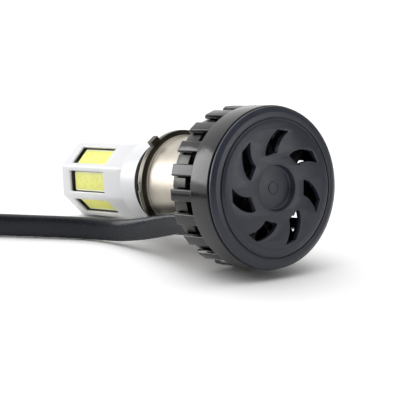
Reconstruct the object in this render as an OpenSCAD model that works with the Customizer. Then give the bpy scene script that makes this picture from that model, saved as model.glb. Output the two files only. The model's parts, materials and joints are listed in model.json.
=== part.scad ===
// LED headlight bulb with a cooling fan, lying on its side with its supply cord beside it.
// Every piece of the bulb is drawn in the bulb's own frame: Z runs from the rear cover to the
// nose, X points to the side that the cord leaves from, and Y points up. lay() then puts the
// bulb on the surface. The plug is drawn where it lies.

/* [Fan housing] */
// Outer radius of the smooth band around the fan
band_r = 22.6; // [22.4:0.1:24]
// Length of the smooth band
band_len = 7.6; // [7.4:0.1:8.2]
// Outer radius of the teeth in front of the band
tooth_r = 22.4; // [22:0.1:22.5]
// Where the teeth end, measured from the back of the housing
tooth_end = 17.2; // [16.6:0.1:17.4]
// Width of each tooth
tooth_w = 3.3; // [2.6:0.1:3.6]
// Number of teeth, and of heat sink blocks between them
tooth_count = 20; // [20:1:20]

/* [Rear cover] */
// Number of swirl vents
vent_count = 7; // [5:1:8]
// Radius where a vent starts
vent_r1 = 9.7; // [9:0.1:10.5]
// Radius where a vent ends
vent_r2 = 16; // [14:0.1:16.4]
// Depth of the round hollow in the middle, near its edge
hub_depth = 1.9; // [1.2:0.1:1.9]

/* [Fan] */
// Number of fan blades
blade_count = 7; // [5:1:9]
// Outer radius of the blades
blade_r = 18.6; // [16:0.1:18.8]
// Radius of the shaft
shaft_r = 1; // [0.8:0.05:1.1]
// Radial clearance of the shaft in its bearing
bearing_gap = 0.04; // [0.02:0.01:0.08]

/* [Collar] */
// Outer radius of the barrel
barrel_r = 13.3; // [13.2:0.1:13.6]
// Outer radius of the flange
flange_r = 15.2; // [14.8:0.1:15.6]
// Outer radius of the neck, the part that a sleeve slides over
neck_r = 12.4; // [12.2:0.05:12.6]
// Length of the neck in front of the flange
neck_len = 3.4; // [3.2:0.1:3.6]

/* [Lamp head] */
// Radius to the corners of the eight-sided head
head_r = 11.92; // [11.6:0.02:12]
// Where the head ends, measured from the back of the housing
nose_z = 86.6; // [85:0.1:88]
// Length of each window
window_len = 17.2; // [15:0.1:17.4]
// Width of each window
window_w = 6.2; // [6:0.1:7]

/* [Cord and plug] */
// Width of the flat cord
cord_w = 6.4; // [5.6:0.1:6.5]
// Thickness of the flat cord
cord_t = 3; // [2.4:0.1:3.4]
// Width of the plug's body
plug_w = 24; // [22:0.5:26]
// Height of the plug's body
plug_h = 13; // [13:0.5:13]

/* [Hidden] */
$fn = 64;
eps = 0.01;

// rear cover
cover_r = 21.75;
cover_face_z = -2.4;
cover_face_r = 17;
cover_edge_z = -2.2;
cover_edge_r = 18.4;
cover_step_r = 19;
cover_groove_z = -1.3;
cover_rim_r = 19.4;
cover_rim_z = -1.7;
cover_inside_z = -0.8;
cover_seat_z = 1.4;

// fan, from the back to the front
blade_turn = 34;
blade_z1 = 2.6;
blade_z2 = 6.8;
hub_r = 8.2;
hub_z = 2.4;
hub_end = 7;
frame_seat_z = 9;
frame_base_z = 9.2;
bearing_r = 2.2;
screw_circle_r = 16.5;
strut_turn = 17;

// heat sink
tooth_turn = -1;
gap_turn = 8;
sink_plate_z = 15.6;
sink_front_z = 17.4;
sink_r = 20.6;
block_w = 2.8;
collar_screw_circle_r = 10.6;

// collar
bead_r = 13.8;
flange_z1 = 39.2;
flange_z2 = 41.2;
neck_end = flange_z2 + neck_len;
plug_core_r = 10.4;

// lamp head
round_r = 11.8;
head_z = 47;
ring_t = 1.96;
octagon_z = 54.4;
apothem = head_r * cos(22.5);
wall = 1;
nose_soft = 2.4;
window_z = 63.8;
core_apothem = 8.4;
board_t = 1;
chip_t = 0.5;
low_beam_faces = [-45, 0, 45];
high_beam_faces = [135, 180, 225];

// driver board, which stands on edge inside the barrel
board_y = -2;
board_z1 = 20;
board_z2 = 37.5;

// where the cord leaves the front of the heat sink
exit_r = 17.3;
exit_turn = -32;
exit_z = 18.6;

// how the bulb lies: on the tips of its teeth and on the nose end of one flat face
touch_z = tooth_end - 0.8;
rest_z = nose_z - nose_soft / 2;
tilt = atan((tooth_r - apothem) / (rest_z - touch_z));
axis_h = tooth_r * cos(tilt) + touch_z * sin(tilt);
back_y = cover_edge_z * cos(tilt) - cover_edge_r * sin(tilt);
nose_y = rest_z * cos(tilt) + apothem * sin(tilt);
middle_y = (back_y + nose_y) / 2;

// The cord's route on the surface: x, y, height of its middle, and how far it leans from
// standing on edge, in degrees. It starts at the front of the grommet.
cord_route = [
    [-14.7, -23.6, 12.7, -32],
    [-14.7, -18, 11.5, -26],
    [-14.8, -12, 9.6, -18],
    [-15, -6, 7.6, -10],
    [-15.4, 0, 5.8, -4],
    [-16.2, 6, 4.3, 0],
    [-18, 11.2, 3.6, 0],
    [-21.2, 15.8, 3.3, 0],
    [-25.4, 19.4, 3.3, 0],
    [-30.5, 23.2, 3.3, 0],
    [-35.8, 27, 3.3, 0],
    [-41, 30.8, 3.3, 0],
    [-46.2, 34.6, 3.3, 0],
    [-51, 38, 3.3, 0],
    [-56, 40.8, 3.3, 0],
    [-62, 42.8, 3.3, 0],
    [-69, 43.1, 3.3, 0],
    [-75.6, 41.6, 3.3, 0],
    [-81.6, 38.5, 3.4, 0],
    [-86.6, 33.8, 3.7, 0],
    [-90.4, 28, 4.2, 0],
    [-92.3, 21.5, 5, 0],
    [-92.7, 14.5, 6.2, 0],
    [-92.7, 8, 6.5, 0]
];
plug_x = -92.7;
plug_y = 8;
plug_mid = plug_h / 2;
boot_len = 8;
plug_len = 18;
blade_len = 9.5;

// ---------- shared shapes ----------

// Puts a piece of the bulb where it lies.
module lay() {
    translate([0, -middle_y, axis_h])
        rotate([-90 - tilt, 0, 0])
            rotate([0, 0, 180])
                children();
}

module tube(outer, inner, z1, z2) {
    translate([0, 0, z1])
        difference() {
            cylinder(r = outer, h = z2 - z1);
            translate([0, 0, -1])
                cylinder(r = inner, h = z2 - z1 + 2);
        }
}

module disc(r, z1, z2) {
    translate([0, 0, z1])
        cylinder(r = r, h = z2 - z1);
}

module spun(profile) {
    rotate_extrude()
        polygon(profile);
}

// A box that points outwards at an angle: from r1 to r2, as wide as w.
module outward_box(turn, r1, r2, w, z1, z2) {
    rotate([0, 0, turn])
        translate([r1, -w / 2, z1])
            cube([r2 - r1, w, z2 - z1]);
}

module at_turn(turn, r) {
    rotate([0, 0, turn])
        translate([r, 0, 0])
            children();
}

// A slot-shaped prism whose long side is as wide as w, across the outward direction.
module slot_prism(w, t, z1, z2) {
    run = (w - t) / 2;
    for (side = [-1, 1])
        translate([0, side * run, 0])
            disc(t / 2, z1, z2);
    translate([-t / 2, -run, z1])
        cube([t, 2 * run, z2 - z1]);
}

function swirl_point(r, turn) = [r * cos(turn), r * sin(turn)];

// ---------- fan end ----------

// One vent: both long sides lean the same way round, so that the vents form a swirl.
function vent_side(from, to, bend) = [for (i = [0:6])
    let (t = i / 6) swirl_point(vent_r1 + (vent_r2 - vent_r1) * t, from + (to - from) * pow(t, bend))];

function backwards(list) = [for (i = [len(list) - 1:-1:0]) list[i]];

module vent() {
    translate([0, 0, cover_face_z - 1])
        linear_extrude(height = 4)
            polygon(concat(vent_side(-23, 3.5, 1.3), backwards(vent_side(3, 17.5, 1.5))));
}

module rear_cover() {
    hub_z = cover_face_z + hub_depth;
    color([0.22, 0.225, 0.25])
        lay()
            difference() {
                spun([
                    [0, hub_z - 0.3],
                    [4.4, hub_z],
                    [6.1, hub_z],
                    [6.4, cover_face_z],
                    [cover_face_r, cover_face_z],
                    [cover_edge_r, cover_edge_z],
                    [cover_step_r, cover_edge_z + 0.4],
                    [cover_step_r, cover_groove_z],
                    [cover_rim_r, cover_groove_z],
                    [cover_rim_r, cover_rim_z],
                    [band_r - 1.7, cover_rim_z + 0.15],
                    [band_r - 0.75, cover_rim_z + 0.7],
                    [band_r - 0.25, -0.8],
                    [band_r - 0.25, -0.5],
                    [cover_r, -0.5],
                    [cover_r, cover_seat_z],
                    [20.4, cover_seat_z],
                    [20.4, 0.6],
                    [18.2, 0.6],
                    [18, cover_inside_z],
                    [7.4, cover_inside_z],
                    [6.2, hub_z + 0.8],
                    [0, hub_z + 0.8]
                ]);
                for (i = [0:vent_count - 1])
                    rotate([0, 0, 91 + i * 360 / vent_count])
                        vent();
            }
}

module fan_housing() {
    color([0.13, 0.135, 0.15])
        lay() {
            spun([
                [22.1, 0],
                [band_r - 0.25, 0],
                [band_r, 0.3],
                [band_r, band_len],
                [20.9, band_len],
                [20.9, cover_seat_z],
                [22.1, cover_seat_z]
            ]);
            intersection() {
                spun([
                    [20.9, band_len - 0.6],
                    [tooth_r, band_len - 0.6],
                    [tooth_r, touch_z],
                    [tooth_r - 0.8, tooth_end],
                    [20.9, tooth_end]
                ]);
                for (i = [0:tooth_count - 1])
                    outward_box(tooth_turn + i * 360 / tooth_count, 19, 24, tooth_w,
                        band_len - 0.6, tooth_end);
            }
        }
}

module at_fan_screws() {
    for (i = [0:3])
        at_turn(strut_turn + i * 90, screw_circle_r)
            children();
}

// A countersunk screw whose head sits at z and whose shank runs forwards.
module countersunk(z, head_r, head_h, shank_r, length) {
    translate([0, 0, z])
        cylinder(r1 = head_r, r2 = shank_r, h = head_h);
    disc(shank_r, z + head_h - eps, z + length);
}

module fan_screw() {
    countersunk(7.5, 1.7, 0.9, 0.8, 5.5);
}

module fan_frame() {
    color([0.1, 0.1, 0.11])
        lay() {
            difference() {
                union() {
                    tube(20.8, 19.2, 1.6, 7.5);
                    for (i = [0:3])
                        outward_box(strut_turn + i * 90, 7.5, 20, 2.2, 7.3, frame_seat_z);
                    at_fan_screws()
                        disc(2.4, 7.5, frame_seat_z);
                    disc(hub_r, 8, frame_base_z);
                    disc(3.1, 4.4, 8.1);
                }
                disc(bearing_r, 4, 10);
                at_fan_screws()
                    fan_screw();
            }
        }
}

module impeller() {
    color([0.16, 0.165, 0.18])
        lay() {
            spun([
                [0, hub_z],
                [hub_r - 0.5, hub_z],
                [hub_r, hub_z + 0.5],
                [hub_r, hub_end],
                [7.3, hub_end],
                [7.3, 3.4],
                [2, 3.4],
                [2, 3.9],
                [shaft_r, 3.9],
                [shaft_r, 3],
                [0, 3]
            ]);
            intersection() {
                tube(blade_r, hub_r - 0.3, blade_z1, blade_z2);
                for (i = [0:blade_count - 1])
                    rotate([0, 0, blade_turn + i * 360 / blade_count])
                        translate([hub_r - 1, 0, (blade_z1 + blade_z2) / 2])
                            rotate([57, 0, 0])
                                translate([0, -0.4, -6])
                                    cube([12, 0.8, 12]);
            }
        }
}

module magnet_ring() {
    color([0.3, 0.29, 0.28])
        lay()
            tube(7.3, 6.5, 3.8, 6.8);
}

module fan_shaft() {
    color([0.75, 0.75, 0.77])
        lay()
            disc(shaft_r, 3, 10.6);
}

module shaft_clip() {
    color([0.7, 0.7, 0.72])
        lay()
            tube(1.9, shaft_r, 9.6, 10);
}

module fan_bearing() {
    color([0.72, 0.6, 0.35])
        lay()
            tube(bearing_r, shaft_r + bearing_gap, 4.4, frame_base_z);
}

module stator_core() {
    color([0.55, 0.56, 0.58])
        lay() {
            tube(3.9, 3.1, 4.8, 6.4);
            for (i = [0:3])
                outward_box(45 + i * 90, 3.8, 5.2, 1.6, 4.8, 6.4);
            intersection() {
                tube(5.9, 5, 4.8, 6.4);
                for (i = [0:3])
                    outward_box(45 + i * 90, 4, 7, 6, 4.8, 6.4);
            }
        }
}

module stator_coils() {
    color([0.75, 0.4, 0.2])
        lay()
            for (i = [0:3])
                difference() {
                    outward_box(45 + i * 90, 4, 4.9, 3.2, 4.2, 7);
                    outward_box(45 + i * 90, 3.5, 5.5, 1.6, 4.8, 6.4);
                    tube(5.9, 5, 4.8, 6.4);
                }
}

module fan_board() {
    color([0.1, 0.35, 0.2])
        lay()
            tube(7, 3.2, 7.3, 8);
}

module fan_wires() {
    color([0.7, 0.1, 0.1])
        lay()
            for (x = [4.2, 5.6])
                translate([x, board_y, 0])
                    disc(0.4, frame_base_z, board_z1);
}

module fan_screws() {
    color([0.6, 0.6, 0.62])
        lay()
            at_fan_screws()
                fan_screw();
}

// ---------- heat sink ----------

module at_collar_screws() {
    for (i = [0:2])
        at_turn(30 + i * 120, collar_screw_circle_r)
            children();
}

module at_exit() {
    at_turn(exit_turn, exit_r)
        children();
}

module heat_sink() {
    color([0.5, 0.5, 0.49])
        lay()
            difference() {
                union() {
                    tube(sink_r, 6.5, sink_plate_z, sink_front_z);
                    for (i = [0:tooth_count - 1])
                        outward_box(gap_turn + i * 360 / tooth_count, 19.7, 20.7, block_w, 12,
                            sink_front_z);
                    // two fins are left out where the cord passes
                    for (i = [0:tooth_count - 3])
                        outward_box(gap_turn + i * 360 / tooth_count - 18, 13.5, 19.8, 1, 11.8,
                            sink_plate_z + 0.1);
                    at_fan_screws()
                        disc(1.9, frame_seat_z, sink_plate_z + 0.1);
                }
                at_fan_screws()
                    disc(0.8, frame_seat_z - 1, 13.2);
                at_collar_screws()
                    disc(1, sink_plate_z - 1, sink_front_z + 1);
                at_exit()
                    slot_prism(8.2, 4.6, sink_plate_z - 1, sink_front_z + 1);
            }
}

module collar_screws() {
    color([0.6, 0.6, 0.62])
        lay()
            at_collar_screws() {
                disc(1.9, sink_plate_z - 1.4, sink_plate_z);
                disc(1, sink_plate_z - eps, 19);
            }
}

module cable_grommet() {
    color([0.06, 0.06, 0.07])
        lay()
            at_exit() {
                slot_prism(8.2, 4.6, 15, sink_front_z + eps);
                slot_prism(9, 5.4, sink_front_z, exit_z);
            }
}

// One wire bent twice: in from the grommet, across, and forwards to the driver board.
module bent_wire(from, to, z1, z2, z3, r) {
    across = to - from;
    translate([from[0], from[1], 0])
        disc(r, z2 - 0.6, z1);
    translate([to[0], to[1], 0])
        disc(r, z2 - 0.6, z3);
    translate([from[0], from[1], z2])
        rotate([0, 90, atan2(across[1], across[0])])
            cylinder(r = r * 0.9, h = norm(across));
}

module supply_wires() {
    middle = swirl_point(exit_r, exit_turn);
    across = swirl_point(1, exit_turn + 90);
    color([0.8, 0.75, 0.2])
        lay()
            for (i = [-1:1])
                bent_wire(middle + 2 * i * across, [-2.6 + 2.4 * i, board_y], 15, 13.6,
                    board_z1, 0.45);
}

// ---------- collar and driver ----------

module base_collar() {
    color([0.78, 0.75, 0.68])
        lay()
            difference() {
                union() {
                    spun([
                        [8.5, sink_front_z],
                        [barrel_r, sink_front_z],
                        [barrel_r, 38.1],
                        [bead_r, 38.3],
                        [bead_r, 38.8],
                        [13.6, flange_z1],
                        [flange_r - 0.3, flange_z1],
                        [flange_r, flange_z1 + 0.3],
                        [flange_r, flange_z2 - 0.4],
                        [flange_r - 0.4, flange_z2],
                        [neck_r, flange_z2],
                        [neck_r, neck_end],
                        [plug_core_r, neck_end],
                        [plug_core_r, 40],
                        [12.3, 38],
                        [12.3, 19],
                        [8.5, 19]
                    ]);
                    for (turn = [54, 234])
                        outward_box(turn, 14, 16.6, 3, flange_z1, flange_z2);
                }
                // locating notch in the flange's front edge
                outward_box(0, 14.5, 17, 2, flange_z2 - 0.8, flange_z2 + 1);
                at_collar_screws()
                    disc(1, sink_front_z - 1, 20);
            }
}

module driver_board() {
    color([0.1, 0.35, 0.2])
        lay()
            translate([-11, board_y - 0.6, board_z1])
                cube([22, 1.2, board_z2 - board_z1]);
}

module driver_inductor() {
    color([0.2, 0.2, 0.2])
        lay()
            translate([-5.5, board_y + 0.6, 27])
                rotate([-90, 0, 0])
                    cylinder(r = 3.6, h = 5.5);
}

module driver_capacitors() {
    color([0.15, 0.15, 0.2])
        lay()
            for (x = [3, 8.4])
                translate([x, board_y + 0.6 + 2.5, 0])
                    disc(2.5, 22, 31);
}

module driver_chips() {
    color([0.08, 0.08, 0.08])
        lay()
            for (x = [-7, 2])
                translate([x, board_y - 0.6 - 1.5, 24])
                    cube([5, 1.5, 6]);
}

module led_wires() {
    color([0.8, 0.1, 0.1])
        lay()
            for (x = [-1.8, -0.6, 0.6, 1.8])
                translate([x, board_y, 0])
                    disc(0.45, board_z2, 56);
}

module o_ring() {
    color([0.05, 0.05, 0.05])
        lay()
            rotate_extrude()
                translate([neck_r - ring_t / 2 - 0.02, (neck_end + head_z) / 2])
                    circle(d = ring_t);
}

// ---------- lamp head ----------

module octagon(to_flat, z1, z2) {
    translate([0, 0, z1])
        rotate([0, 0, 22.5])
            cylinder(r = to_flat / cos(22.5), h = z2 - z1, $fn = 8);
}

module nose_screw_shape() {
    translate([0, 0, nose_z - 1.2])
        cylinder(r1 = 1.25, r2 = 2.4, h = 1.2);
    disc(1.25, 77, nose_z - 1.2 + eps);
}

module head_shell() {
    color([0.93, 0.93, 0.92])
        lay()
            difference() {
                union() {
                    spun([
                        [10.45, head_z],
                        [11.4, head_z],
                        [round_r, head_z + 0.4],
                        [round_r, octagon_z + 0.2],
                        [10.45, octagon_z + 0.2]
                    ]);
                    difference() {
                        hull()
                            for (a = [0:22.5:90])
                                octagon(apothem - nose_soft * (1 - cos(a)), octagon_z,
                                    nose_z - nose_soft * (1 - sin(a)));
                        octagon(apothem - wall, octagon_z - 1, nose_z - 1.4);
                    }
                }
                for (turn = concat(low_beam_faces, high_beam_faces))
                    outward_box(turn, core_apothem + board_t + chip_t, 14, window_w, window_z,
                        window_z + window_len);
                nose_screw_shape();
            }
}

module led_core() {
    color([0.75, 0.76, 0.78])
        lay()
            difference() {
                union() {
                    disc(plug_core_r, 42, 50);
                    octagon(core_apothem, 49, 81.6);
                    disc(3, 81, nose_z - 1.4);
                }
                disc(3.2, 41, 57);
                disc(1.25, 76, nose_z);
            }
}

module led_boards(faces) {
    for (turn = faces)
        outward_box(turn, core_apothem, core_apothem + board_t, 6.4, 57, 81.4);
}

module led_chips(faces) {
    for (turn = faces)
        outward_box(turn, core_apothem + board_t, core_apothem + board_t + chip_t, 5.8, 61, 79.8);
}

module low_beam_boards() {
    color([0.9, 0.9, 0.88])
        lay()
            led_boards(low_beam_faces);
}

module high_beam_boards() {
    color([0.9, 0.9, 0.88])
        lay()
            led_boards(high_beam_faces);
}

module low_beam_leds() {
    color([0.93, 0.93, 0.35])
        lay()
            led_chips(low_beam_faces);
}

module high_beam_leds() {
    color([0.93, 0.93, 0.35])
        lay()
            led_chips(high_beam_faces);
}

module nose_screw() {
    color([0.6, 0.6, 0.62])
        lay()
            nose_screw_shape();
}

// ---------- cord and plug ----------

function unit(v) = v / norm(v);

function place(i) = [cord_route[i][0], cord_route[i][1], cord_route[i][2]];

function heading(i) = unit(place(min(i + 1, len(cord_route) - 1)) - place(max(i - 1, 0)));

// The eight corners of the flat section, as shares of half its width and half its thickness.
section = [[1, 0.4], [0.75, 1], [-0.75, 1], [-1, 0.4], [-1, -0.4], [-0.75, -1], [0.75, -1], [1, -0.4]];

function ring(i) =
    let (
        ahead = heading(i),
        side = unit(cross(ahead, [0, 0, 1])),
        up = cross(side, ahead),
        lean = cord_route[i][3],
        wide = cos(lean) * up + sin(lean) * side,
        thin = cos(lean) * side - sin(lean) * up
    )
    [for (p = section) place(i) + p[0] * cord_w / 2 * wide + p[1] * cord_t / 2 * thin];

module swept_cord() {
    sides = len(section);
    rings = len(cord_route);
    points = [for (i = [0:rings - 1]) each ring(i)];
    walls = [for (i = [0:rings - 2], j = [0:sides - 1])
        let (a = i * sides + j, b = i * sides + (j + 1) % sides) [a, b, b + sides, a + sides]];
    first = [for (j = [sides - 1:-1:0]) j];
    last = [for (j = [0:sides - 1]) (rings - 1) * sides + j];
    polyhedron(points, concat([first], walls, [last]), convexity = 10);
}

module supply_cord() {
    color([0.12, 0.13, 0.16])
        swept_cord();
}

module along_plug(from) {
    translate([plug_x, plug_y - from, plug_mid])
        rotate([90, 0, 0])
            children();
}

// A plug section: a block with its long edges cut off.
module bevelled_block(w, h, cut, length) {
    linear_extrude(height = length)
        polygon([
            [-w / 2 + cut, -h / 2],
            [w / 2 - cut, -h / 2],
            [w / 2, -h / 2 + cut],
            [w / 2, h / 2 - cut],
            [w / 2 - cut, h / 2],
            [-w / 2 + cut, h / 2],
            [-w / 2, h / 2 - cut],
            [-w / 2, -h / 2 + cut]
        ]);
}

module plug_boot() {
    color([0.08, 0.08, 0.09])
        along_plug(0)
            bevelled_block(4.6, 8, 1, boot_len);
}

module plug_housing() {
    color([0.1, 0.1, 0.11])
        along_plug(boot_len) {
            bevelled_block(14, 10.5, 1.5, 4);
            translate([0, 0, 4 - eps])
                bevelled_block(plug_w, plug_h, 1, plug_len - 4 + eps);
        }
}

module plug_blades() {
    color([0.78, 0.76, 0.7])
        along_plug(boot_len + plug_len) {
            for (side = [-1, 1])
                translate([side * 8 - 0.4, -3.9, 0])
                    cube([0.8, 7.8, blade_len]);
            translate([-3.9, 2.6, 0])
                cube([7.8, 0.8, blade_len]);
        }
}

rear_cover();
fan_housing();
fan_frame();
impeller();
magnet_ring();
fan_shaft();
shaft_clip();
fan_bearing();
stator_core();
stator_coils();
fan_board();
fan_wires();
fan_screws();
heat_sink();
collar_screws();
cable_grommet();
supply_wires();
base_collar();
driver_board();
driver_inductor();
driver_capacitors();
driver_chips();
led_wires();
o_ring();
head_shell();
led_core();
low_beam_boards();
high_beam_boards();
low_beam_leds();
high_beam_leds();
nose_screw();
supply_cord();
plug_boot();
plug_housing();
plug_blades();
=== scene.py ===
"""The looks of the LED headlight bulb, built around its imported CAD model.

Dimensions and outlines are in millimetres in the bulb's own frame: Z runs from the rear cover
to the nose, X points to the side that the cord leaves from, and Y points up. LAY turns them
into metres in the frame of the model, where the bulb lies on its side. Turns are in degrees.
"""

import json
from math import cos, pi, radians, sin, tan

import bmesh
import bpy
from mathutils import Matrix, Vector


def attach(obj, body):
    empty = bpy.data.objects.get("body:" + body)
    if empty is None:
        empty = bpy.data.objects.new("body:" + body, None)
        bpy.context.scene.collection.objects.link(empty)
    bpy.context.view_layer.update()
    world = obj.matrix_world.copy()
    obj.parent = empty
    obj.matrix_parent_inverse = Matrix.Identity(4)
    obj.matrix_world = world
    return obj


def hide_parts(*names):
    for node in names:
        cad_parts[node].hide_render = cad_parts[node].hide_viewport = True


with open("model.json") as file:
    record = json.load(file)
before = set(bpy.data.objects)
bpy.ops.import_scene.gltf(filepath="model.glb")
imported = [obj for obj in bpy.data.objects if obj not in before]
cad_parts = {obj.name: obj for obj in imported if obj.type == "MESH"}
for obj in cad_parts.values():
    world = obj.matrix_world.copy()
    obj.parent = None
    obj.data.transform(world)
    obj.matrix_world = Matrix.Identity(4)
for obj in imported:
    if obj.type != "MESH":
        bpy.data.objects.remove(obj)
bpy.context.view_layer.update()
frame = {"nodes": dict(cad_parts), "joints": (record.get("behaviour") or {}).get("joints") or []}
nodes = frame["nodes"]

MM = 0.001
SMOOTH_BELOW = radians(38)
NEARLY_STRAIGHT = radians(176)
SIDE_SHARE = 0.45

# ---------- the bulb's own frame, from the fan's joint ----------

JOINT = frame["joints"][0]
JOINT_FROM_BACK = 5 * MM
AXIS = Vector(JOINT["axis"]).normalized()
BACK = Vector(JOINT["pos_m"]) - AXIS * JOINT_FROM_BACK
SIDE = Vector((-1, 0, 0))
UP = AXIS.cross(SIDE)
LAY = Matrix.Translation(BACK) @ Matrix((SIDE, UP, AXIS)).transposed().to_4x4()
LAY = LAY @ Matrix.Scale(MM, 4)

# ---------- dimensions, as in the CAD model ----------

# Fan housing.
BAND_R = 22.6
BAND_IN_R = 20.9
BAND_LEN = 7.6
TOOTH_R = 22.4
TOOTH_END = 17.2
TOOTH_W = 3.3
TOOTH_COUNT = 20
TOOTH_STEP = 360 / TOOTH_COUNT
TOOTH_TURN = -1

# Rear cover.
COVER_R = 21.75
COVER_FACE = -2.4
COVER_FACE_R = 17
COVER_EDGE = -2.2
COVER_EDGE_R = 18.4
COVER_STEP_R = 19
COVER_GROOVE = -1.3
COVER_RIM = -1.7
COVER_RIM_R = 19.4
COVER_LIP = -0.5
COVER_LIP_R = 22.35
COVER_INSIDE = -0.8
COVER_SEAT = 1.4
HUB_R = 6.4
HUB_FLOOR = -0.5
VENT_COUNT = 7
VENT_TURN = 91
VENT_R1 = 9.7
VENT_R2 = 16
LEADING_TURN = -23
LEADING_SWEEP = 26.5
LEADING_CURL = 1.3
TRAILING_TURN = 3
TRAILING_SWEEP = 14.5
TRAILING_CURL = 1.5

# Heat sink and the cord's exit.
SINK_R = 20.6
SINK_Z1 = 15.6
SINK_Z2 = 17.4
SINK_HOLE_R = 6.5
GAP_TURN = 8
BLOCK_R1 = 19.7
BLOCK_R2 = 20.7
BLOCK_W = 2.8
BLOCK_Z = 12
FIN_R1 = 13.5
FIN_R2 = 19.8
FIN_T = 1
FIN_Z = 11.8
POST_CIRCLE_R = 16.5
POST_TURN = 17
POST_Z = 9
COLLAR_SCREW_CIRCLE_R = 10.6
EXIT_LEN = 8.2
EXIT_W = 4.6
EXIT_R = 17.3
EXIT_TURN = -32
EXIT_Z = 18.6

# Collar.
BARREL_R = 13.3
BARREL_IN_R = 12.3
BARREL_END = 38.1
BEAD_R = 13.8
FLANGE_R = 15.2
FLANGE_Z1 = 39.2
FLANGE_Z2 = 41.2
FLANGE_CHAMFER = 0.55
NECK_R = 12.4
NECK_END = 44.6
PLUG_CORE_R = 10.4
TAB_R = 16.6
TAB_W = 3
TAB_TURN = 54
RING_IN_R = 10.44
RING_OUT_R = 12.37
RING_Z1 = 44.95
RING_Z2 = 46.75

# Lamp head.
HEAD_Z = 47
ROUND_R = 11.8
OCTAGON_Z = 54.4
NOSE_Z = 86.6
NOSE_SOFT = 2.4
HEAD_R = 11.92
HALF_SIDE_TURN = 22.5
APOTHEM = HEAD_R * cos(radians(HALF_SIDE_TURN))
WALL = 1
NOSE_WALL = 1.4
WINDOW_Z1 = 63.8
WINDOW_Z2 = 81
WINDOW_W = 6.2
BLIND_SIDES = (90, 270)
LOW_BEAM = (-45, 0, 45)
HIGH_BEAM = (135, 180, 225)
SCREW_TIP = 77

# Boards on the core, and the phosphor strips on the boards with a dam around each.
CORE_APOTHEM = 8.4
BOARD_OUT = 9.4
BOARD_W = 6.4
BOARD_Z1 = 57
BOARD_Z2 = 81.4
STRIP_OUT = 9.85
STRIP_W = 5
STRIP_Z1 = 61.3
STRIP_Z2 = 79.5
DAM_OUT = 9.9
DAM_T = 0.45
DAM_W = 5.8
DAM_Z1 = 61
DAM_Z2 = 79.8

# Cord, in metres.
CORD_W = 6.4 * MM
CORD_T = 3 * MM

# The cord's route: x, y and height of its middle in millimetres, and its lean from standing
# on edge in degrees.
CORD_ROUTE = [
    (-14.7, -23.6, 12.7, -32),
    (-14.7, -18, 11.5, -26),
    (-14.8, -12, 9.6, -18),
    (-15, -6, 7.6, -10),
    (-15.4, 0, 5.8, -4),
    (-16.2, 6, 4.3, 0),
    (-18, 11.2, 3.6, 0),
    (-21.2, 15.8, 3.3, 0),
    (-25.4, 19.4, 3.3, 0),
    (-30.5, 23.2, 3.3, 0),
    (-35.8, 27, 3.3, 0),
    (-41, 30.8, 3.3, 0),
    (-46.2, 34.6, 3.3, 0),
    (-51, 38, 3.3, 0),
    (-56, 40.8, 3.3, 0),
    (-62, 42.8, 3.3, 0),
    (-69, 43.1, 3.3, 0),
    (-75.6, 41.6, 3.3, 0),
    (-81.6, 38.5, 3.4, 0),
    (-86.6, 33.8, 3.7, 0),
    (-90.4, 28, 4.2, 0),
    (-92.3, 21.5, 5, 0),
    (-92.7, 14.5, 6.2, 0),
    (-92.7, 8, 6.5, 0),
]

# ---------- camera ----------

LOOK_AT = Vector((-15.45, -29.3, 20.2)) * MM
CAMERA_DISTANCE = 547 * MM
CAMERA_AZIMUTH = radians(-39.07)
CAMERA_ELEVATION = radians(13.01)
CAMERA_ROLL = radians(2.85)
CAMERA_LENS = 178.7


def make_camera():
    away = Vector((sin(CAMERA_AZIMUTH), -cos(CAMERA_AZIMUTH), 0)) * cos(CAMERA_ELEVATION)
    away.z = sin(CAMERA_ELEVATION)
    data = bpy.data.cameras.new("camera")
    data.lens = CAMERA_LENS
    data.clip_start = 0.01
    camera = bpy.data.objects.new("camera", data)
    turn = away.to_track_quat("Z", "Y").to_matrix().to_4x4() @ Matrix.Rotation(CAMERA_ROLL, 4, "Z")
    camera.matrix_world = Matrix.Translation(LOOK_AT + away * CAMERA_DISTANCE) @ turn
    bpy.context.scene.collection.objects.link(camera)
    bpy.context.scene.camera = camera


make_camera()

# ---------- material kit ----------


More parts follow.
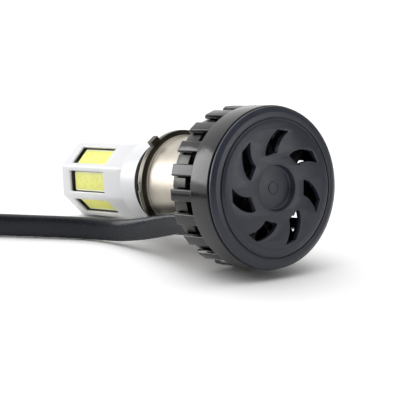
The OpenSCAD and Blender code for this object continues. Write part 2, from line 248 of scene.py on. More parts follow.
class Shader:
    """A new material with a Principled shader, and short ways to add nodes to it."""

    def __init__(self, name, color, roughness, **inputs):
        self.material = bpy.data.materials.new(name)
        self.material.use_nodes = True
        self.tree = self.material.node_tree
        self.shader = self.tree.nodes["Principled BSDF"]
        self.set("Base Color", (*color, 1))
        self.set("Roughness", roughness)
        for key, value in inputs.items():
            self.set(key.replace("_", " "), value)
        self.color = color
        self.roughness = roughness
        self.place = self.node("ShaderNodeTexCoord").outputs["Object"]

    def set(self, socket, value):
        self.shader.inputs[socket].default_value = value

    def node(self, kind, **settings):
        made = self.tree.nodes.new(kind)
        for key, value in settings.items():
            setattr(made, key, value)
        return made

    def link(self, a, b):
        self.tree.links.new(a, b)

    def stretched(self, scale, along_axis=True):
        """Places in millimetres of the bulb's frame (or of the model's), times scale."""
        place = self.place
        if along_axis:
            lay = self.node("ShaderNodeMapping", vector_type="TEXTURE")
            lay.inputs["Location"].default_value = BACK
            lay.inputs["Rotation"].default_value = LAY.to_euler()
            self.link(place, lay.inputs["Vector"])
            place = lay.outputs["Vector"]
        mapping = self.node("ShaderNodeMapping")
        mapping.inputs["Scale"].default_value = [v / MM for v in scale]
        self.link(place, mapping.inputs["Vector"])
        return mapping.outputs["Vector"]

    def noise(self, scale, detail=4, rough=0.55, along_axis=True):
        made = self.node("ShaderNodeTexNoise")
        made.inputs["Scale"].default_value = 1
        made.inputs["Detail"].default_value = detail
        made.inputs["Roughness"].default_value = rough
        self.link(self.stretched(scale, along_axis), made.inputs["Vector"])
        return made.outputs["Fac"]

    def ranged(self, value, low, high, from_low=0.3, from_high=0.7):
        made = self.node("ShaderNodeMapRange")
        made.inputs["From Min"].default_value = from_low
        made.inputs["From Max"].default_value = from_high
        made.inputs["To Min"].default_value = low
        made.inputs["To Max"].default_value = high
        self.link(value, made.inputs["Value"])
        return made.outputs["Result"]

    def vary_color(self, factor, other):
        """Lets the colour wander to another one where factor is high."""
        mix = self.node("ShaderNodeMix", data_type="RGBA")
        # The node's colour sockets come after those for numbers and vectors.
        first, second, result = mix.inputs[6], mix.inputs[7], mix.outputs[2]
        first.default_value = (*self.color, 1)
        second.default_value = (*other, 1)
        self.link(factor, mix.inputs[0])
        self.link(result, self.shader.inputs["Base Color"])

    def vary_roughness(self, factor, spread):
        varied = self.ranged(factor, self.roughness - spread, self.roughness + spread)
        self.link(varied, self.shader.inputs["Roughness"])

    def bump(self, height, depth_mm):
        made = self.node("ShaderNodeBump")
        made.inputs["Strength"].default_value = 1
        made.inputs["Distance"].default_value = depth_mm * MM
        self.link(height, made.inputs["Height"])
        self.link(made.outputs["Normal"], self.shader.inputs["Normal"])


def shade(color, factor):
    """The same colour, lighter or darker by that factor."""
    return tuple(min(1, c * factor) for c in color)


def moulded(name, color, roughness, grain=7, depth=0.012, spread=0.06, lighter=1.35, **inputs):
    """Moulded plastic or rubber: fine skin grain, faint cloudiness and uneven gloss."""
    s = Shader(name, color, roughness, **inputs)
    cloud = s.noise((0.12, 0.12, 0.12), detail=5)
    s.vary_color(s.ranged(cloud, 0, 1), shade(color, lighter))
    s.vary_roughness(s.noise((0.5, 0.5, 0.5), detail=6), spread)
    s.bump(s.noise((grain, grain, grain), detail=3), depth)
    return s.material


def metal(name, color, roughness, brush, depth=0.006, spread=0.07):
    """Bare or plated metal with fine marks. brush is the marks' frequency along each axis."""
    s = Shader(name, color, roughness, Metallic=1)
    marks = s.noise(brush, detail=5, rough=0.6)
    s.vary_color(s.ranged(s.noise((0.15, 0.15, 0.15)), 0, 1), shade(color, 0.82))
    s.vary_roughness(marks, spread)
    s.bump(marks, depth)
    return s.material


# How often marks repeat along each axis, per millimetre.
TURNED = (0.15, 0.15, 9)
CAST = (3.5, 3.5, 3.5)
LAYERED = (0.2, 0.2, 5)
WOUND = (6, 0.4, 0.4)
DRAWN = (0.3, 6, 0.3)

cover_black = moulded("cover_black", (0.018, 0.021, 0.032), 0.34, grain=6, depth=0.01,
                      Specular_IOR_Level=0.42)
housing_black = moulded("housing_black", (0.007, 0.007, 0.008), 0.15, grain=2, depth=0.006,
                        Specular_IOR_Level=0.36)
fan_black = moulded("fan_black", (0.008, 0.008, 0.009), 0.45, Specular_IOR_Level=0.25)
sink_metal = metal("sink_metal", (0.055, 0.055, 0.052), 0.3, CAST, depth=0.02)
nickel = metal("nickel", (0.44, 0.408, 0.35), 0.42, TURNED, depth=0.003, spread=0.05)
# A darker copy of the nickel for the flange and its tabs: painted shade and painted reflection of
# dark surroundings, not a different plating.
nickel_painted_dark = metal("nickel_painted_dark", (0.1, 0.092, 0.078), 0.3, TURNED, depth=0.004)
steel = metal("steel", (0.62, 0.62, 0.63), 0.3, CAST)
bronze = metal("bronze", (0.55, 0.4, 0.2), 0.5, CAST, depth=0.015)
laminated = metal("laminated", (0.4, 0.4, 0.42), 0.4, LAYERED, depth=0.02)
copper = metal("copper", (0.72, 0.3, 0.12), 0.32, WOUND, depth=0.02)
magnet_grey = moulded("magnet_grey", (0.07, 0.07, 0.072), 0.6, grain=5, depth=0.02)
machined = metal("machined", (0.7, 0.71, 0.72), 0.32, TURNED)
black_rubber = moulded("black_rubber", (0.006, 0.006, 0.007), 0.7, grain=4, depth=0.012,
                       Specular_IOR_Level=0.12)
cord_black = moulded("cord_black", (0.009, 0.01, 0.014), 0.3, grain=1.6, depth=0.03, spread=0.08,
                     Specular_IOR_Level=0.25)
plug_black = moulded("plug_black", (0.02, 0.02, 0.022), 0.42, grain=5, depth=0.015)
lamp_board = moulded("lamp_board", (0.02, 0.02, 0.02), 0.5)
green_board = moulded("green_board", (0.015, 0.12, 0.05), 0.35)
chip_black = moulded("chip_black", (0.02, 0.02, 0.021), 0.5)
sleeve = moulded("capacitor_sleeve", (0.02, 0.02, 0.05), 0.3)
red_wire = moulded("lamp_wire", (0.45, 0.02, 0.02), 0.4)
fan_wire = moulded("fan_wire", (0.4, 0.02, 0.02), 0.4)
yellow_wire = moulded("supply_wire", (0.6, 0.5, 0.04), 0.4)
tinned = metal("contact_metal", (0.72, 0.69, 0.6), 0.28, DRAWN)
dam_white = moulded("silicone_dam", (0.82, 0.82, 0.6), 0.35, grain=2, depth=0.01, lighter=1.05)


def make_white_paint():
    """White paint under a thin clear coat, a little uneven."""
    s = Shader("white_paint", (0.66, 0.66, 0.675), 0.36, Coat_Weight=0.25, Coat_Roughness=0.2)
    cloud = s.noise((0.1, 0.1, 0.1), detail=5)
    s.vary_color(s.ranged(cloud, 0, 1), (0.62, 0.625, 0.645))
    s.vary_roughness(s.noise((0.8, 0.8, 0.8), detail=5), 0.06)
    s.bump(s.noise((2.2, 2.2, 2.2), detail=2), 0.02)
    return s.material


def make_phosphor():
    """Yellow silicone over rows of small chips, which show as faint orange spots."""
    s = Shader("phosphor", (0.88, 0.88, 0.19), 0.4, Subsurface_Weight=0.1)
    cells = s.node("ShaderNodeTexVoronoi")
    cells.inputs["Scale"].default_value = 1
    s.link(s.stretched((0.8, 0.8, 0.8)), cells.inputs["Vector"])
    spots = s.ranged(cells.outputs["Distance"], 1, 0, from_low=0, from_high=0.55)
    s.vary_color(spots, (0.86, 0.72, 0.12))
    s.bump(s.noise((3, 3, 3)), 0.015)
    return s.material


white_paint = make_white_paint()
phosphor = make_phosphor()

# ---------- mesh kit ----------


def finished(name, bm, material, place=LAY):
    """Turns a bmesh into a visible object, smooth except at its sharp edges."""
    bmesh.ops.recalc_face_normals(bm, faces=bm.faces)
    mesh = bpy.data.meshes.new(name)
    bm.to_mesh(mesh)
    bm.free()
    mesh.transform(place)
    if place.determinant() < 0:
        mesh.flip_normals()
    for polygon in mesh.polygons:
        polygon.use_smooth = True
    mesh.set_sharp_from_angle(angle=SMOOTH_BELOW)
    mesh.materials.append(material)
    made = bpy.data.objects.new(name, mesh)
    bpy.context.scene.collection.objects.link(made)
    return made


def joined(*parts):
    """One bmesh that holds all the parts, which are used up."""
    whole = bmesh.new()
    for part in parts:
        mesh = bpy.data.meshes.new("part")
        part.to_mesh(mesh)
        part.free()
        whole.from_mesh(mesh)
        bpy.data.meshes.remove(mesh)
    return whole


def moved(bm, matrix):
    bmesh.ops.transform(bm, matrix=matrix, verts=bm.verts)
    return bm


def turned(bm, degrees):
    return moved(bm, Matrix.Rotation(radians(degrees), 4, "Z"))


def evenly(outline, radius):
    """Corners for softened() that all have the same radius."""
    return [(x, y, radius) for x, y in outline]


def softened(corners, steps=4):
    """A closed outline whose corners, given as (x, y, radius), are turned into curves.

    A curve takes up at most SIDE_SHARE of the sides next to it.
    """
    places = [Vector(corner[:2]) for corner in corners]
    result = []
    for i, here in enumerate(places):
        radius = corners[i][2]
        before = places[i - 1] - here
        after = places[(i + 1) % len(places)] - here
        angle = before.angle(after)
        if radius == 0 or angle > NEARLY_STRAIGHT:
            result.append(tuple(here))
            continue
        room = SIDE_SHARE * min(before.length, after.length)
        reach = min(radius / tan(angle / 2), room)
        start = here + before.normalized() * reach
        end = here + after.normalized() * reach
        for k in range(steps + 1):
            t = k / steps
            point = start.lerp(here, t).lerp(here.lerp(end, t), t)
            result.append(tuple(point))
    return result


def spun(outline, segments=144):
    """A closed outline of (radius, z) turned about Z."""
    bm = bmesh.new()
    rings = []
    for k in range(segments):
        turn = 2 * pi * k / segments
        rings.append([bm.verts.new((r * cos(turn), r * sin(turn), z)) for r, z in outline])
    for k in range(segments):
        a = rings[k]
        b = rings[(k + 1) % segments]
        for i in range(len(outline)):
            j = (i + 1) % len(outline)
            if outline[i][0] < 1e-6 and outline[j][0] < 1e-6:
                continue
            bm.faces.new((a[i], a[j], b[j], b[i]))
    bmesh.ops.remove_doubles(bm, verts=bm.verts, dist=1e-5)
    return bm


def bevelled(bm, width, segments=3, above=25):
    """Rounds the edges whose faces meet at more than that many degrees."""
    sharp = [e for e in bm.edges if e.is_manifold and e.calc_face_angle() > radians(above)]
    bmesh.ops.bevel(bm, geom=sharp, offset=width, segments=segments, profile=0.5,
                    affect="EDGES", clamp_overlap=True)
    return bm


def prism(outline, low, high, edge, segments=3):
    """An outline of (x, z) made thick along Y from low to high, with softened edges."""
    bm = bmesh.new()
    near = [bm.verts.new((x, low, z)) for x, z in outline]
    far = [bm.verts.new((x, high, z)) for x, z in outline]
    bm.faces.new(near)
    bm.faces.new(list(reversed(far)))
    for i in range(len(outline)):
        j = (i + 1) % len(outline)
        bm.faces.new((near[i], far[i], far[j], near[j]))
    bmesh.ops.recalc_face_normals(bm, faces=bm.faces)
    if edge:
        bevelled(bm, edge, segments)
    return bm


def block(x1, x2, y1, y2, z1, z2, edge, segments=3):
    """A box with softened edges."""
    return prism([(x1, z1), (x2, z1), (x2, z2), (x1, z2)], y1, y2, edge, segments)


def polar(r, turn):
    """The point at that radius and turn about Z."""
    return (r * cos(radians(turn)), r * sin(radians(turn)))


def circle_outline(r, steps=144, middle=(0, 0)):
    turns = [2 * pi * k / steps for k in range(steps)]
    return [(middle[0] + r * cos(t), middle[1] + r * sin(t)) for t in turns]


def slot_outline(length, width, middle=(0, 0), turn=0, steps=12):
    """A slot with round ends whose long side runs along Y, turned about Z."""
    run = (length - width) / 2
    points = []
    for end in (1, -1):
        for k in range(steps + 1):
            t = pi * k / steps
            x = width / 2 * cos(t) * end
            y = (run + width / 2 * sin(t)) * end
            points.append((x, y))
    c = cos(radians(turn))
    s = sin(radians(turn))
    return [(middle[0] + x * c - y * s, middle[1] + x * s + y * c) for x, y in points]


def plate(outlines, z1, z2, edge):
    """A flat plate with holes: the first outline is its rim, and all its edges are round."""
    curve = bpy.data.curves.new("plate", "CURVE")
    curve.dimensions = "2D"
    curve.fill_mode = "BOTH"
    curve.extrude = (z2 - z1) / 2 - edge
    curve.bevel_depth = edge
    curve.bevel_resolution = 2
    curve.offset = -edge
    for outline in outlines:
        spline = curve.splines.new("POLY")
        spline.points.add(len(outline) - 1)
        for point, (x, y) in zip(spline.points, outline):
            point.co = (x, y, 0, 1)
        spline.use_cyclic_u = True
    holder = bpy.data.objects.new("plate", curve)
    bpy.context.scene.collection.objects.link(holder)
    bpy.context.view_layer.update()
    graph = bpy.context.evaluated_depsgraph_get()
    mesh = bpy.data.meshes.new_from_object(holder.evaluated_get(graph))
    bm = bmesh.new()
    bm.from_mesh(mesh)
    bpy.data.objects.remove(holder)
    bpy.data.meshes.remove(mesh)
    bmesh.ops.remove_doubles(bm, verts=bm.verts, dist=1e-4)
    return moved(bm, Matrix.Translation((0, 0, (z1 + z2) / 2)))


def cut(piece, cutter):
    """Takes one piece's shape out of another, for good."""
    change = piece.modifiers.new("cut", "BOOLEAN")
    change.object = cutter
    change.solver = "EXACT"
    bpy.context.view_layer.update()
    graph = bpy.context.evaluated_depsgraph_get()
    mesh = bpy.data.meshes.new_from_object(piece.evaluated_get(graph))
    piece.modifiers.clear()
    piece.data = mesh
    bpy.data.objects.remove(cutter)


def show(piece, body, slot, *replaced):
    """Says what a piece moves with and which CAD nodes it stands for; slot, what it is made of, is
    not used.
    """
    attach(piece, body)
    if replaced:
        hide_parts(*replaced)
    return piece


# ---------- cord ----------


def smooth_route(steps=5):
    """The route as a Catmull-Rom curve: a list of (place in metres, lean)."""
    rows = [Vector(row) for row in CORD_ROUTE]
    result = []
    for i in range(len(rows) - 1):
        p0 = rows[max(i - 1, 0)]
        p1 = rows[i]
        p2 = rows[i + 1]
        p3 = rows[min(i + 2, len(rows) - 1)]
        for k in range(steps):
            t = k / steps
            bend = (p2 - p0) * t + (p0 * 2 - p1 * 5 + p2 * 4 - p3) * t * t
            result.append(p1 + (bend + (p1 * 3 - p0 - p2 * 3 + p3) * t * t * t) / 2)
    result.append(rows[-1])
    return [(Vector(row[:3]) * MM, radians(row[3])) for row in result]


def cord_section(steps=28):
    """A flat section with full round edges, in shares of half its width and thickness."""
    points = []
    for k in range(steps):
        t = 2 * pi * k / steps
        wide = abs(cos(t)) ** 0.75 * (1 if cos(t) > 0 else -1)
        thin = abs(sin(t)) ** 0.62 * (1 if sin(t) > 0 else -1)
        points.append((wide, thin))
    return points


def make_cord():
    """The cord as one swept solid, with the path of its middle and its length in metres."""
    route = smooth_route()
    section = cord_section()
    bm = bmesh.new()
    rings = []
    for i, (place, lean) in enumerate(route):
        ahead = (route[min(i + 1, len(route) - 1)][0] - route[max(i - 1, 0)][0]).normalized()
        side = ahead.cross(Vector((0, 0, 1))).normalized()
        up = side.cross(ahead)
        wide = up * cos(lean) + side * sin(lean)
        thin = side * cos(lean) - up * sin(lean)
        wide *= CORD_W / 2
        thin *= CORD_T / 2
        rings.append([bm.verts.new(place + wide * a + thin * b) for a, b in section])
    count = len(section)
    for a, b in zip(rings, rings[1:]):
        for j in range(count):
            k = (j + 1) % count
            bm.faces.new((a[j], a[k], b[k], b[j]))
    bm.faces.new(list(reversed(rings[0])))
    bm.faces.new(rings[-1])
    cord = finished("flat_cord", bm, cord_black, Matrix.Identity(4))
    path = [place for place, lean in route]
    length = sum((b - a).length for a, b in zip(path, path[1:]))
    return cord, path, length


cord, cord_path, cord_length = make_cord()
show(cord, "bulb", "cord_black", "supply_cord")

# ---------- plug, in a frame of its own whose Z runs along the blades ----------

CORD_END = Vector(CORD_ROUTE[-1][:3]) * MM
PLUG_LAY = Matrix.Translation(CORD_END) @ Matrix.Rotation(radians(90), 4, "X")
PLUG_LAY = PLUG_LAY @ Matrix.Scale(MM, 4)
BOOT_LEN = 8
BOOT_W = 7.4
BOOT_T = 4.2
RIB_COUNT = 4
RIB_STEP = 1.9
PLUG_FRONT = BOOT_LEN + 18
PLUG_W = 24
PLUG_H = 13
PLUG_BACK_W = 14
PLUG_BACK_H = 10.5
GRIP_COUNT = 5
GRIP_STEP = 4.5
GRIP_W = 1.4
GRIP_Y1 = 6.22
GRIP_Y2 = 6.42
BLADE_END = PLUG_FRONT + 9.5
BLADE_W = 7.8
BLADE_T = 0.8
BLADE_OFFSET = 8
LEVEL_BLADE_Y = 3


def make_boot():
    """A ribbed strain relief, slimmer towards the cord."""
    parts = [plate([slot_outline(BOOT_W, BOOT_T)], 0, BOOT_LEN, 0.3)]
    for k in range(RIB_COUNT):
        grow = 0.18 * k - 0.2
        start = 0.7 + k * RIB_STEP
        parts.append(plate([slot_outline(BOOT_W + grow, BOOT_T + grow)], start, start + 1.1, 0.25))
    return finished("plug_strain_relief", joined(*parts), black_rubber, PLUG_LAY)


def make_plug_body():
    """A slim back, a wide front with bars just under two faces, and a rim around each blade."""
    w = PLUG_BACK_W / 2
    h = PLUG_BACK_H / 2
    parts = [block(-w, w, -h, h, BOOT_LEN, BOOT_LEN + 5, 0.9)]
    w = PLUG_W / 2
    h = PLUG_H / 2
    parts.append(block(-w, w, -h, h, BOOT_LEN + 4, PLUG_FRONT, 0.8))
    for k in range(GRIP_COUNT):
        x1 = (k - (GRIP_COUNT - 1) / 2) * GRIP_STEP - GRIP_W / 2
        for y1, y2 in ((-GRIP_Y2, -GRIP_Y1), (GRIP_Y1, GRIP_Y2)):
            bar = block(x1, x1 + GRIP_W, y1, y2, BOOT_LEN + 6, PLUG_FRONT - 4, 0.09, 1)
            parts.append(bar)
    rim_z1 = PLUG_FRONT - 0.5
    rim_z2 = PLUG_FRONT + 0.6
    for x in (-BLADE_OFFSET, BLADE_OFFSET):
        parts.append(block(x - 1.1, x + 1.1, -4.4, 4.4, rim_z1, rim_z2, 0.2))
    y = LEVEL_BLADE_Y
    parts.append(block(-4.4, 4.4, y - 1.1, y + 1.1, rim_z1, rim_z2, 0.2))
    return finished("plug_body", joined(*parts), plug_black, PLUG_LAY)


def make_blades():
    """One level blade and an upright one on each side of it."""
    w = BLADE_W / 2
    t = BLADE_T / 2
    root = PLUG_FRONT - 0.4
    shoulder = BLADE_END - 1.6
    tip = [(-w, root), (w, root), (w, shoulder), (w - 1.2, BLADE_END), (1.2 - w, BLADE_END),
           (-w, shoulder)]
    parts = [prism(tip, LEVEL_BLADE_Y - t, LEVEL_BLADE_Y + t, 0.12)]
    for x in (-BLADE_OFFSET, BLADE_OFFSET):
        upright = turned(prism(tip, -t, t, 0.12), 90)
        parts.append(moved(upright, Matrix.Translation((x, 0, 0))))
    return finished("plug_contacts", joined(*parts), tinned, PLUG_LAY)


boot = show(make_boot(), "bulb", "plug_rubber", "plug_boot")
plug_body = show(make_plug_body(), "bulb", "plug_black", "plug_housing")
blades = show(make_blades(), "bulb", "contact_metal", "plug_blades")

# ---------- rear cover ----------


def vent_outline(turn, steps=6):
    """One swirl vent. Both of its long sides sweep the same way round on their way out."""
    leading = []
    trailing = []
    for i in range(steps + 1):
        t = i / steps
        r = VENT_R1 + (VENT_R2 - VENT_R1) * t
        leading.append(polar(r, turn + LEADING_TURN + LEADING_SWEEP * t ** LEADING_CURL))
        trailing.append(polar(r, turn + TRAILING_TURN + TRAILING_SWEEP * t ** TRAILING_CURL))
    outline = leading + list(reversed(trailing))
    ends = (0, steps, steps + 1, 2 * steps + 1)
    return softened([(x, y, 0.45 if i in ends else 0) for i, (x, y) in enumerate(outline)], 3)


def make_cover():
    """A raised face with vents, a groove, a sloping rim, and a dished hub with a thin ring."""
    vents = [vent_outline(VENT_TURN + k * 360 / VENT_COUNT) for k in range(VENT_COUNT)]
    holes = [circle_outline(HUB_R + 0.2, 72)] + vents
    disc = plate([circle_outline(COVER_FACE_R)] + holes, COVER_FACE, COVER_INSIDE, 0.1)
    edge = [(16.8, COVER_FACE, 0), (COVER_FACE_R, COVER_FACE, 2), (COVER_EDGE_R, COVER_EDGE, 1.2),
            (COVER_STEP_R, COVER_EDGE + 0.4, 0.3), (COVER_STEP_R, COVER_GROOVE, 0.15),
            (COVER_RIM_R, COVER_GROOVE, 0.12), (COVER_RIM_R, COVER_RIM, 0.2),
            (21, COVER_RIM + 0.05, 1.2), (COVER_LIP_R, -1, 0.5), (COVER_LIP_R, COVER_LIP, 0.05),
            (COVER_R, COVER_LIP, 0), (COVER_R, COVER_SEAT, 0.1), (20.4, COVER_SEAT, 0.1),
            (20.4, 0.6, 0.1), (18.2, 0.6, 0.3), (18, COVER_INSIDE, 0), (16.8, COVER_INSIDE, 0)]
    hub = [(0, HUB_FLOOR - 0.4, 0), (4.3, HUB_FLOOR - 0.15, 3), (HUB_R - 0.3, HUB_FLOOR, 0.45),
           (HUB_R, COVER_FACE, 0.14), (HUB_R + 0.4, COVER_FACE, 0), (7, COVER_INSIDE, 0),
           (6.2, HUB_FLOOR + 0.8, 0.3), (0, HUB_FLOOR + 0.8, 0)]
    ring = evenly([(1.5, -0.8), (1.58, -0.98), (1.8, -0.98), (1.9, -0.8)], 0.04)
    parts = [disc, spun(softened(edge, 5), 192), spun(softened(hub, 6), 96),
             spun(softened(ring, 2), 64)]
    return finished("swirl_vent_cover", joined(*parts), cover_black)


show(make_cover(), "bulb", "cover_black", "rear_cover")

# ---------- fan housing ----------


def make_housing():
    """A smooth band with a seat for the cover, and a ring of teeth in front of it."""
    band = [(BAND_IN_R, BAND_LEN, 0.1), (BAND_IN_R, COVER_SEAT, 0), (22.1, COVER_SEAT, 0),
            (22.1, 0, 0.05), (BAND_R - 0.2, 0, 0.12), (BAND_R, 0.2, 0.2),
            (BAND_R, BAND_LEN, 0.45)]
    parts = [spun(softened(band), 192)]
    tooth = [(BAND_IN_R, 6.4, 0), (22.3, 6.4, 0), (TOOTH_R, 7.4, 0),
             (TOOTH_R, TOOTH_END - 1, 0.8), (TOOTH_R - 0.6, TOOTH_END, 0.5),
             (BAND_IN_R, TOOTH_END, 0)]
    for k in range(TOOTH_COUNT):
        one = prism(softened(tooth, 3), -TOOTH_W / 2, TOOTH_W / 2, 0.32)
        parts.append(turned(one, TOOTH_TURN + k * TOOTH_STEP))
    return finished("toothed_housing", joined(*parts), housing_black)


show(make_housing(), "bulb", "housing_black", "fan_housing")

# ---------- heat sink ----------


def make_heat_sink():
    """A front plate with a block in each gap between teeth, fins inside and four posts."""
    holes = [circle_outline(SINK_HOLE_R, 72)]
    for k in range(3):
        holes.append(circle_outline(1, 24, polar(COLLAR_SCREW_CIRCLE_R, 30 + k * 120)))
    holes.append(slot_outline(EXIT_LEN, EXIT_W, polar(EXIT_R, EXIT_TURN), EXIT_TURN))
    parts = [plate([circle_outline(SINK_R)] + holes, SINK_Z1, SINK_Z2, 0.12)]
    for k in range(TOOTH_COUNT):
        turn = GAP_TURN + k * TOOTH_STEP
        half = BLOCK_W / 2
        parts.append(turned(block(BLOCK_R1, BLOCK_R2, -half, half, BLOCK_Z, SINK_Z2, 0.16), turn))
        beside_exit = k >= TOOTH_COUNT - 2
        if not beside_exit:
            half = FIN_T / 2
            fin = block(FIN_R1, FIN_R2, -half, half, FIN_Z, SINK_Z1 + 0.1, 0.14, 2)
            parts.append(turned(fin, turn - TOOTH_STEP))
    for k in range(4):
        post = evenly([(0.8, POST_Z), (1.9, POST_Z), (1.9, SINK_Z1), (0.8, SINK_Z1)], 0.12)
        post = moved(spun(softened(post, 2), 32), Matrix.Translation((POST_CIRCLE_R, 0, 0)))
        parts.append(turned(post, POST_TURN + k * 90))
    return finished("finned_sink", joined(*parts), sink_metal)


show(make_heat_sink(), "bulb", "sink_metal", "heat_sink")


def make_grommet():
    """A rubber stem in the plate's slot with a wider lip in front."""
    middle = polar(EXIT_R, EXIT_TURN)
    stem = slot_outline(EXIT_LEN - 0.1, EXIT_W - 0.1, middle, EXIT_TURN)
    lip = slot_outline(EXIT_LEN + 0.8, EXIT_W + 0.8, middle, EXIT_TURN)
    parts = [plate([stem], SINK_Z1 - 0.6, SINK_Z2 + 0.1, 0.2), plate([lip], SINK_Z2, EXIT_Z, 0.4)]
    return finished("cord_grommet", joined(*parts), black_rubber)


show(make_grommet(), "bulb", "black_rubber", "cable_grommet")

# ---------- collar ----------


def make_collar():
    """The plated barrel, bead and neck, with a notched flange that takes the nickel painted
    darker, a painted reflection of dark surroundings.
    """
    chamfer_z = FLANGE_Z2 - FLANGE_CHAMFER
    outline = [(8.5, SINK_Z2, 0.1), (BARREL_R, SINK_Z2, 0.2), (BARREL_R, BARREL_END, 0.2),
               (BEAD_R, BARREL_END + 0.2, 0.2), (BEAD_R, FLANGE_Z1 - 0.35, 0.2),
               (BEAD_R - 0.25, FLANGE_Z1, 0.05), (FLANGE_R, FLANGE_Z1, 0.18),
               (FLANGE_R, chamfer_z, 0.05), (FLANGE_R - 0.2, FLANGE_Z2, 0.1),
               (NECK_R, FLANGE_Z2, 0.15), (NECK_R, NECK_END, 0.3), (PLUG_CORE_R, NECK_END, 0.2),
               (PLUG_CORE_R, 40, 0), (BARREL_IN_R, 38, 0), (BARREL_IN_R, 19, 0), (8.5, 19, 0)]
    collar = finished("plated_collar", spun(softened(outline), 192), nickel)
    notch = block(FLANGE_R - 0.7, FLANGE_R + 1.8, -1, 1, FLANGE_Z2 - 0.8, FLANGE_Z2 + 1, 0)
    cut(collar, finished("notch", notch, nickel))
    collar.data.materials.clear()
    collar.data.materials.append(nickel)
    collar.data.materials.append(nickel_painted_dark)
    back = LAY.inverted()
    for polygon in collar.data.polygons:
        middle = back @ polygon.center
        across = Vector((middle.x, middle.y)).length
        # The flange's polygons take the darker nickel: painted shade for the dark surroundings it
        # reflects.
        in_painted_shade = FLANGE_Z1 - 0.05 < middle.z < chamfer_z and across > BEAD_R - 0.2
        polygon.material_index = 1 if in_painted_shade else 0
    return collar


def make_tabs():
    """Two tabs on opposite sides of the flange."""
    parts = []
    for turn in (TAB_TURN, TAB_TURN + 180):
        tab = block(BEAD_R, TAB_R, -TAB_W / 2, TAB_W / 2, FLANGE_Z1, FLANGE_Z2, 0.2)
        parts.append(turned(tab, turn))
    # The tabs take the same darker nickel, painted shade like the flange's.
    return finished("collar_tabs", joined(*parts), nickel_painted_dark)


def make_o_ring():
    """A ring that fills the space between the neck and the head."""
    ring = [(RING_IN_R, RING_Z1), (RING_OUT_R, RING_Z1), (RING_OUT_R, RING_Z2),
            (RING_IN_R, RING_Z2)]
    return finished("sealing_ring", spun(softened(evenly(ring, 0.45), 6)), black_rubber)


show(make_collar(), "bulb", "collar_metal", "base_collar")
show(make_tabs(), "bulb", "collar_metal")
show(make_o_ring(), "bulb", "black_rubber", "o_ring")

# ---------- lamp head ----------


def make_cage():
    """Eight walls on shared corners, six of them with a window, and a closed nose."""
    levels = [OCTAGON_Z, WINDOW_Z1, WINDOW_Z2, NOSE_Z]
    inner_levels = [OCTAGON_Z, WINDOW_Z1, WINDOW_Z2, NOSE_Z - NOSE_WALL]
    bm = bmesh.new()
    outer_end = []
    inner_end = []

    def wall_grid(turn, apothem, heights):
        half = apothem * tan(radians(HALF_SIDE_TURN))
        columns = (-half, -WINDOW_W / 2, WINDOW_W / 2, half)
        spin = Matrix.Rotation(radians(turn), 3, "Z")
        return [[bm.verts.new(spin @ Vector((apothem, y, z))) for z in heights] for y in columns]

    for k in range(8):
        turn = k * 2 * HALF_SIDE_TURN
        has_window = turn not in BLIND_SIDES
        out = wall_grid(turn, APOTHEM, levels)
        inn = wall_grid(turn, APOTHEM - WALL, inner_levels)
        for grid in (out, inn):
            for c in range(3):
                for v in range(3):
                    if not (has_window and c == 1 and v == 1):
                        a, b = grid[c], grid[c + 1]
                        bm.faces.new((a[v], b[v], b[v + 1], a[v + 1]))
        if has_window:
            loop = [(1, 1), (2, 1), (2, 2), (1, 2)]
            for i, (c, v) in enumerate(loop):
                d, w = loop[(i + 1) % 4]
                bm.faces.new((out[c][v], out[d][w], inn[d][w], inn[c][v]))
        for c in range(3):
            bm.faces.new((out[c][0], out[c + 1][0], inn[c + 1][0], inn[c][0]))
        outer_end += [out[c][3] for c in range(3)]
        inner_end += [inn[c][3] for c in range(3)]
    bm.faces.new(outer_end)
    bm.faces.new(inner_end)
    bmesh.ops.remove_doubles(bm, verts=bm.verts, dist=1e-4)
    bmesh.ops.recalc_face_normals(bm, faces=bm.faces)
    nose = [e for e in bm.edges if min(v.co.z for v in e.verts) > NOSE_Z - 0.1]
    bmesh.ops.bevel(bm, geom=nose, offset=NOSE_SOFT, segments=8, profile=0.5, affect="EDGES",
                    clamp_overlap=True)
    return bevelled(bm, 0.4, 3, 24)


def make_head():
    """The cage with the round end that slides over the ring."""
    end_z = OCTAGON_Z + 0.2
    round_end = [(10.45, HEAD_Z, 0.1), (ROUND_R - 0.35, HEAD_Z, 0.3),
                 (ROUND_R, HEAD_Z + 0.35, 0.3), (ROUND_R, end_z, 0.25), (10.45, end_z, 0)]
    shape = joined(make_cage(), spun(softened(round_end)))
    return finished("windowed_head", shape, white_paint)


show(make_head(), "bulb", "white_paint", "head_shell")


def on_faces(turns, make_one):
    """What make_one draws on the core's face at +X, repeated on each of the turned faces."""
    return joined(*[turned(make_one(), turn) for turn in turns])


def make_board():
    half = BOARD_W / 2
    return block(CORE_APOTHEM, BOARD_OUT, -half, half, BOARD_Z1, BOARD_Z2, 0.08, 1)


def make_strip():
    half = STRIP_W / 2
    return block(BOARD_OUT, STRIP_OUT, -half, half, STRIP_Z1, STRIP_Z2, 0.2)


def make_dam():
    """The pale frame around a strip."""
    parts = []
    for y in (-DAM_W / 2, DAM_W / 2 - DAM_T):
        parts.append(block(BOARD_OUT, DAM_OUT, y, y + DAM_T, DAM_Z1, DAM_Z2, 0.12))
    for z in (DAM_Z1, DAM_Z2 - DAM_T):
        parts.append(block(BOARD_OUT, DAM_OUT, -DAM_W / 2, DAM_W / 2, z, z + DAM_T, 0.12))
    return joined(*parts)


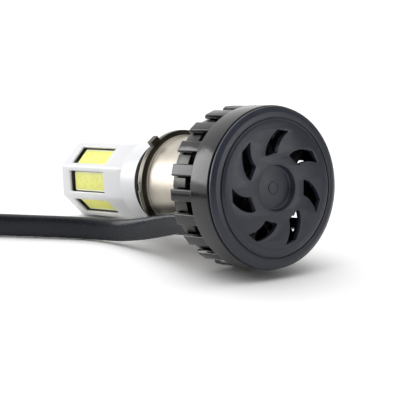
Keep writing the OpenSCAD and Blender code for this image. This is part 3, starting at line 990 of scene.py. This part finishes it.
for beam, turns in (("low_beam", LOW_BEAM), ("high_beam", HIGH_BEAM)):
    boards = finished(beam + "_lamp_boards", on_faces(turns, make_board), lamp_board)
    show(boards, "bulb", "lamp_board", beam + "_boards")
    strips = finished(beam + "_strips", on_faces(turns, make_strip), phosphor)
    show(strips, "bulb", "phosphor", beam + "_leds")
    dams = finished(beam + "_dams", on_faces(turns, make_dam), dam_white)
    show(dams, "bulb", "phosphor")


def cross_outline(arm, half):
    """A plus sign with arms of that length and half width, a quarter at a time."""
    points = []
    quarter = [(arm, -half), (arm, half), (half, half)]
    for k in range(4):
        points += quarter
        quarter = [(-y, x) for x, y in quarter]
    return points


def make_nose_screw():
    """A countersunk screw with a cross in its slightly domed head."""
    outline = [(0, SCREW_TIP, 0), (1.2, SCREW_TIP, 0.1), (1.25, SCREW_TIP + 0.4, 0),
               (1.25, NOSE_Z - 1.2, 0), (2.35, NOSE_Z - 0.12, 0.05), (2.1, NOSE_Z + 0.06, 0.2),
               (0, NOSE_Z + 0.16, 0)]
    screw = finished("cross_head_screw", spun(softened(outline, 3), 48), steel)
    cross = plate([cross_outline(1.3, 0.28)], NOSE_Z - 0.7, NOSE_Z + 1, 0)
    cut(screw, finished("cross", cross, steel))
    return screw


show(make_nose_screw(), "bulb", "steel", "nose_screw")

# ---------- CAD nodes that keep their shape ----------

KEPT = {
    "fan_frame": fan_black,
    "impeller": fan_black,
    "magnet_ring": magnet_grey,
    "fan_shaft": steel,
    "shaft_clip": steel,
    "fan_bearing": bronze,
    "stator_core": laminated,
    "stator_coils": copper,
    "fan_board": green_board,
    "fan_wires": fan_wire,
    "fan_screws": steel,
    "collar_screws": steel,
    "supply_wires": yellow_wire,
    "driver_board": green_board,
    "driver_inductor": magnet_grey,
    "driver_capacitors": sleeve,
    "driver_chips": chip_black,
    "led_wires": red_wire,
    "led_core": machined,
}
for name, material in KEPT.items():
    slots = nodes[name].data.materials
    if len(slots) == 0:
        slots.append(material)
    for i in range(len(slots)):
        slots[i] = material

# ---------- floor and light ----------


def make_floor():
    """A plain pale floor, a hair below the lamp."""
    bm = bmesh.new()
    bmesh.ops.create_grid(bm, x_segments=2, y_segments=2, size=3)
    s = Shader("pale_floor", (0.93, 0.93, 0.93), 0.7)
    s.vary_roughness(s.noise((0.02, 0.02, 0.02), along_axis=False), 0.05)
    floor = finished("floor", bm, s.material, Matrix.Translation((0, 0, -0.2 * MM)))


def add_softbox(name, place, size, power, only_gloss=False):
    """A rectangle of light turned to the lamp; only_gloss ones show in shiny faces alone."""
    data = bpy.data.lights.new(name, "AREA")
    data.shape = "RECTANGLE"
    data.size = size[0]
    data.size_y = size[1]
    data.energy = power
    light = bpy.data.objects.new(name, data)
    light.location = place
    light.rotation_euler = (Vector(place) - LOOK_AT).to_track_quat("Z", "Y").to_euler()
    light.visible_diffuse = not only_gloss
    bpy.context.scene.collection.objects.link(light)


def make_world():
    """A room that is bright behind and above the lamp and dim on the camera's side."""
    world = bpy.data.worlds.new("studio")
    world.use_nodes = True
    tree = world.node_tree
    place = tree.nodes.new("ShaderNodeTexCoord").outputs["Generated"]
    along = tree.nodes.new("ShaderNodeVectorMath")
    along.operation = "DOT_PRODUCT"
    along.inputs[1].default_value = Vector((-0.2, 0.8, 0.55)).normalized()
    tree.links.new(place, along.inputs[0])
    strength = tree.nodes.new("ShaderNodeMapRange")
    strength.interpolation_type = "SMOOTHSTEP"
    strength.inputs["From Min"].default_value = -0.35
    strength.inputs["From Max"].default_value = 0.7
    strength.inputs["To Min"].default_value = 0.2
    strength.inputs["To Max"].default_value = 1.25
    tree.links.new(along.outputs["Value"], strength.inputs["Value"])
    background = tree.nodes["Background"]
    background.inputs["Color"].default_value = (1, 1, 1, 1)
    tree.links.new(strength.outputs["Result"], background.inputs["Strength"])
    bpy.context.scene.world = world


def make_light():
    make_world()
    add_softbox("top_softbox", (-0.15, 0.1, 0.9), (1.2, 1.2), 5.5)
    add_softbox("back_left_strip", (-0.38, 0.4, 0.14), (0.45, 0.28), 1.9, only_gloss=True)
    add_softbox("face_card", (0.045, -0.13, 0.05), (0.05, 0.05), 0.02, only_gloss=True)


make_floor()
make_light()
bpy.context.scene.view_settings.view_transform = "Standard"
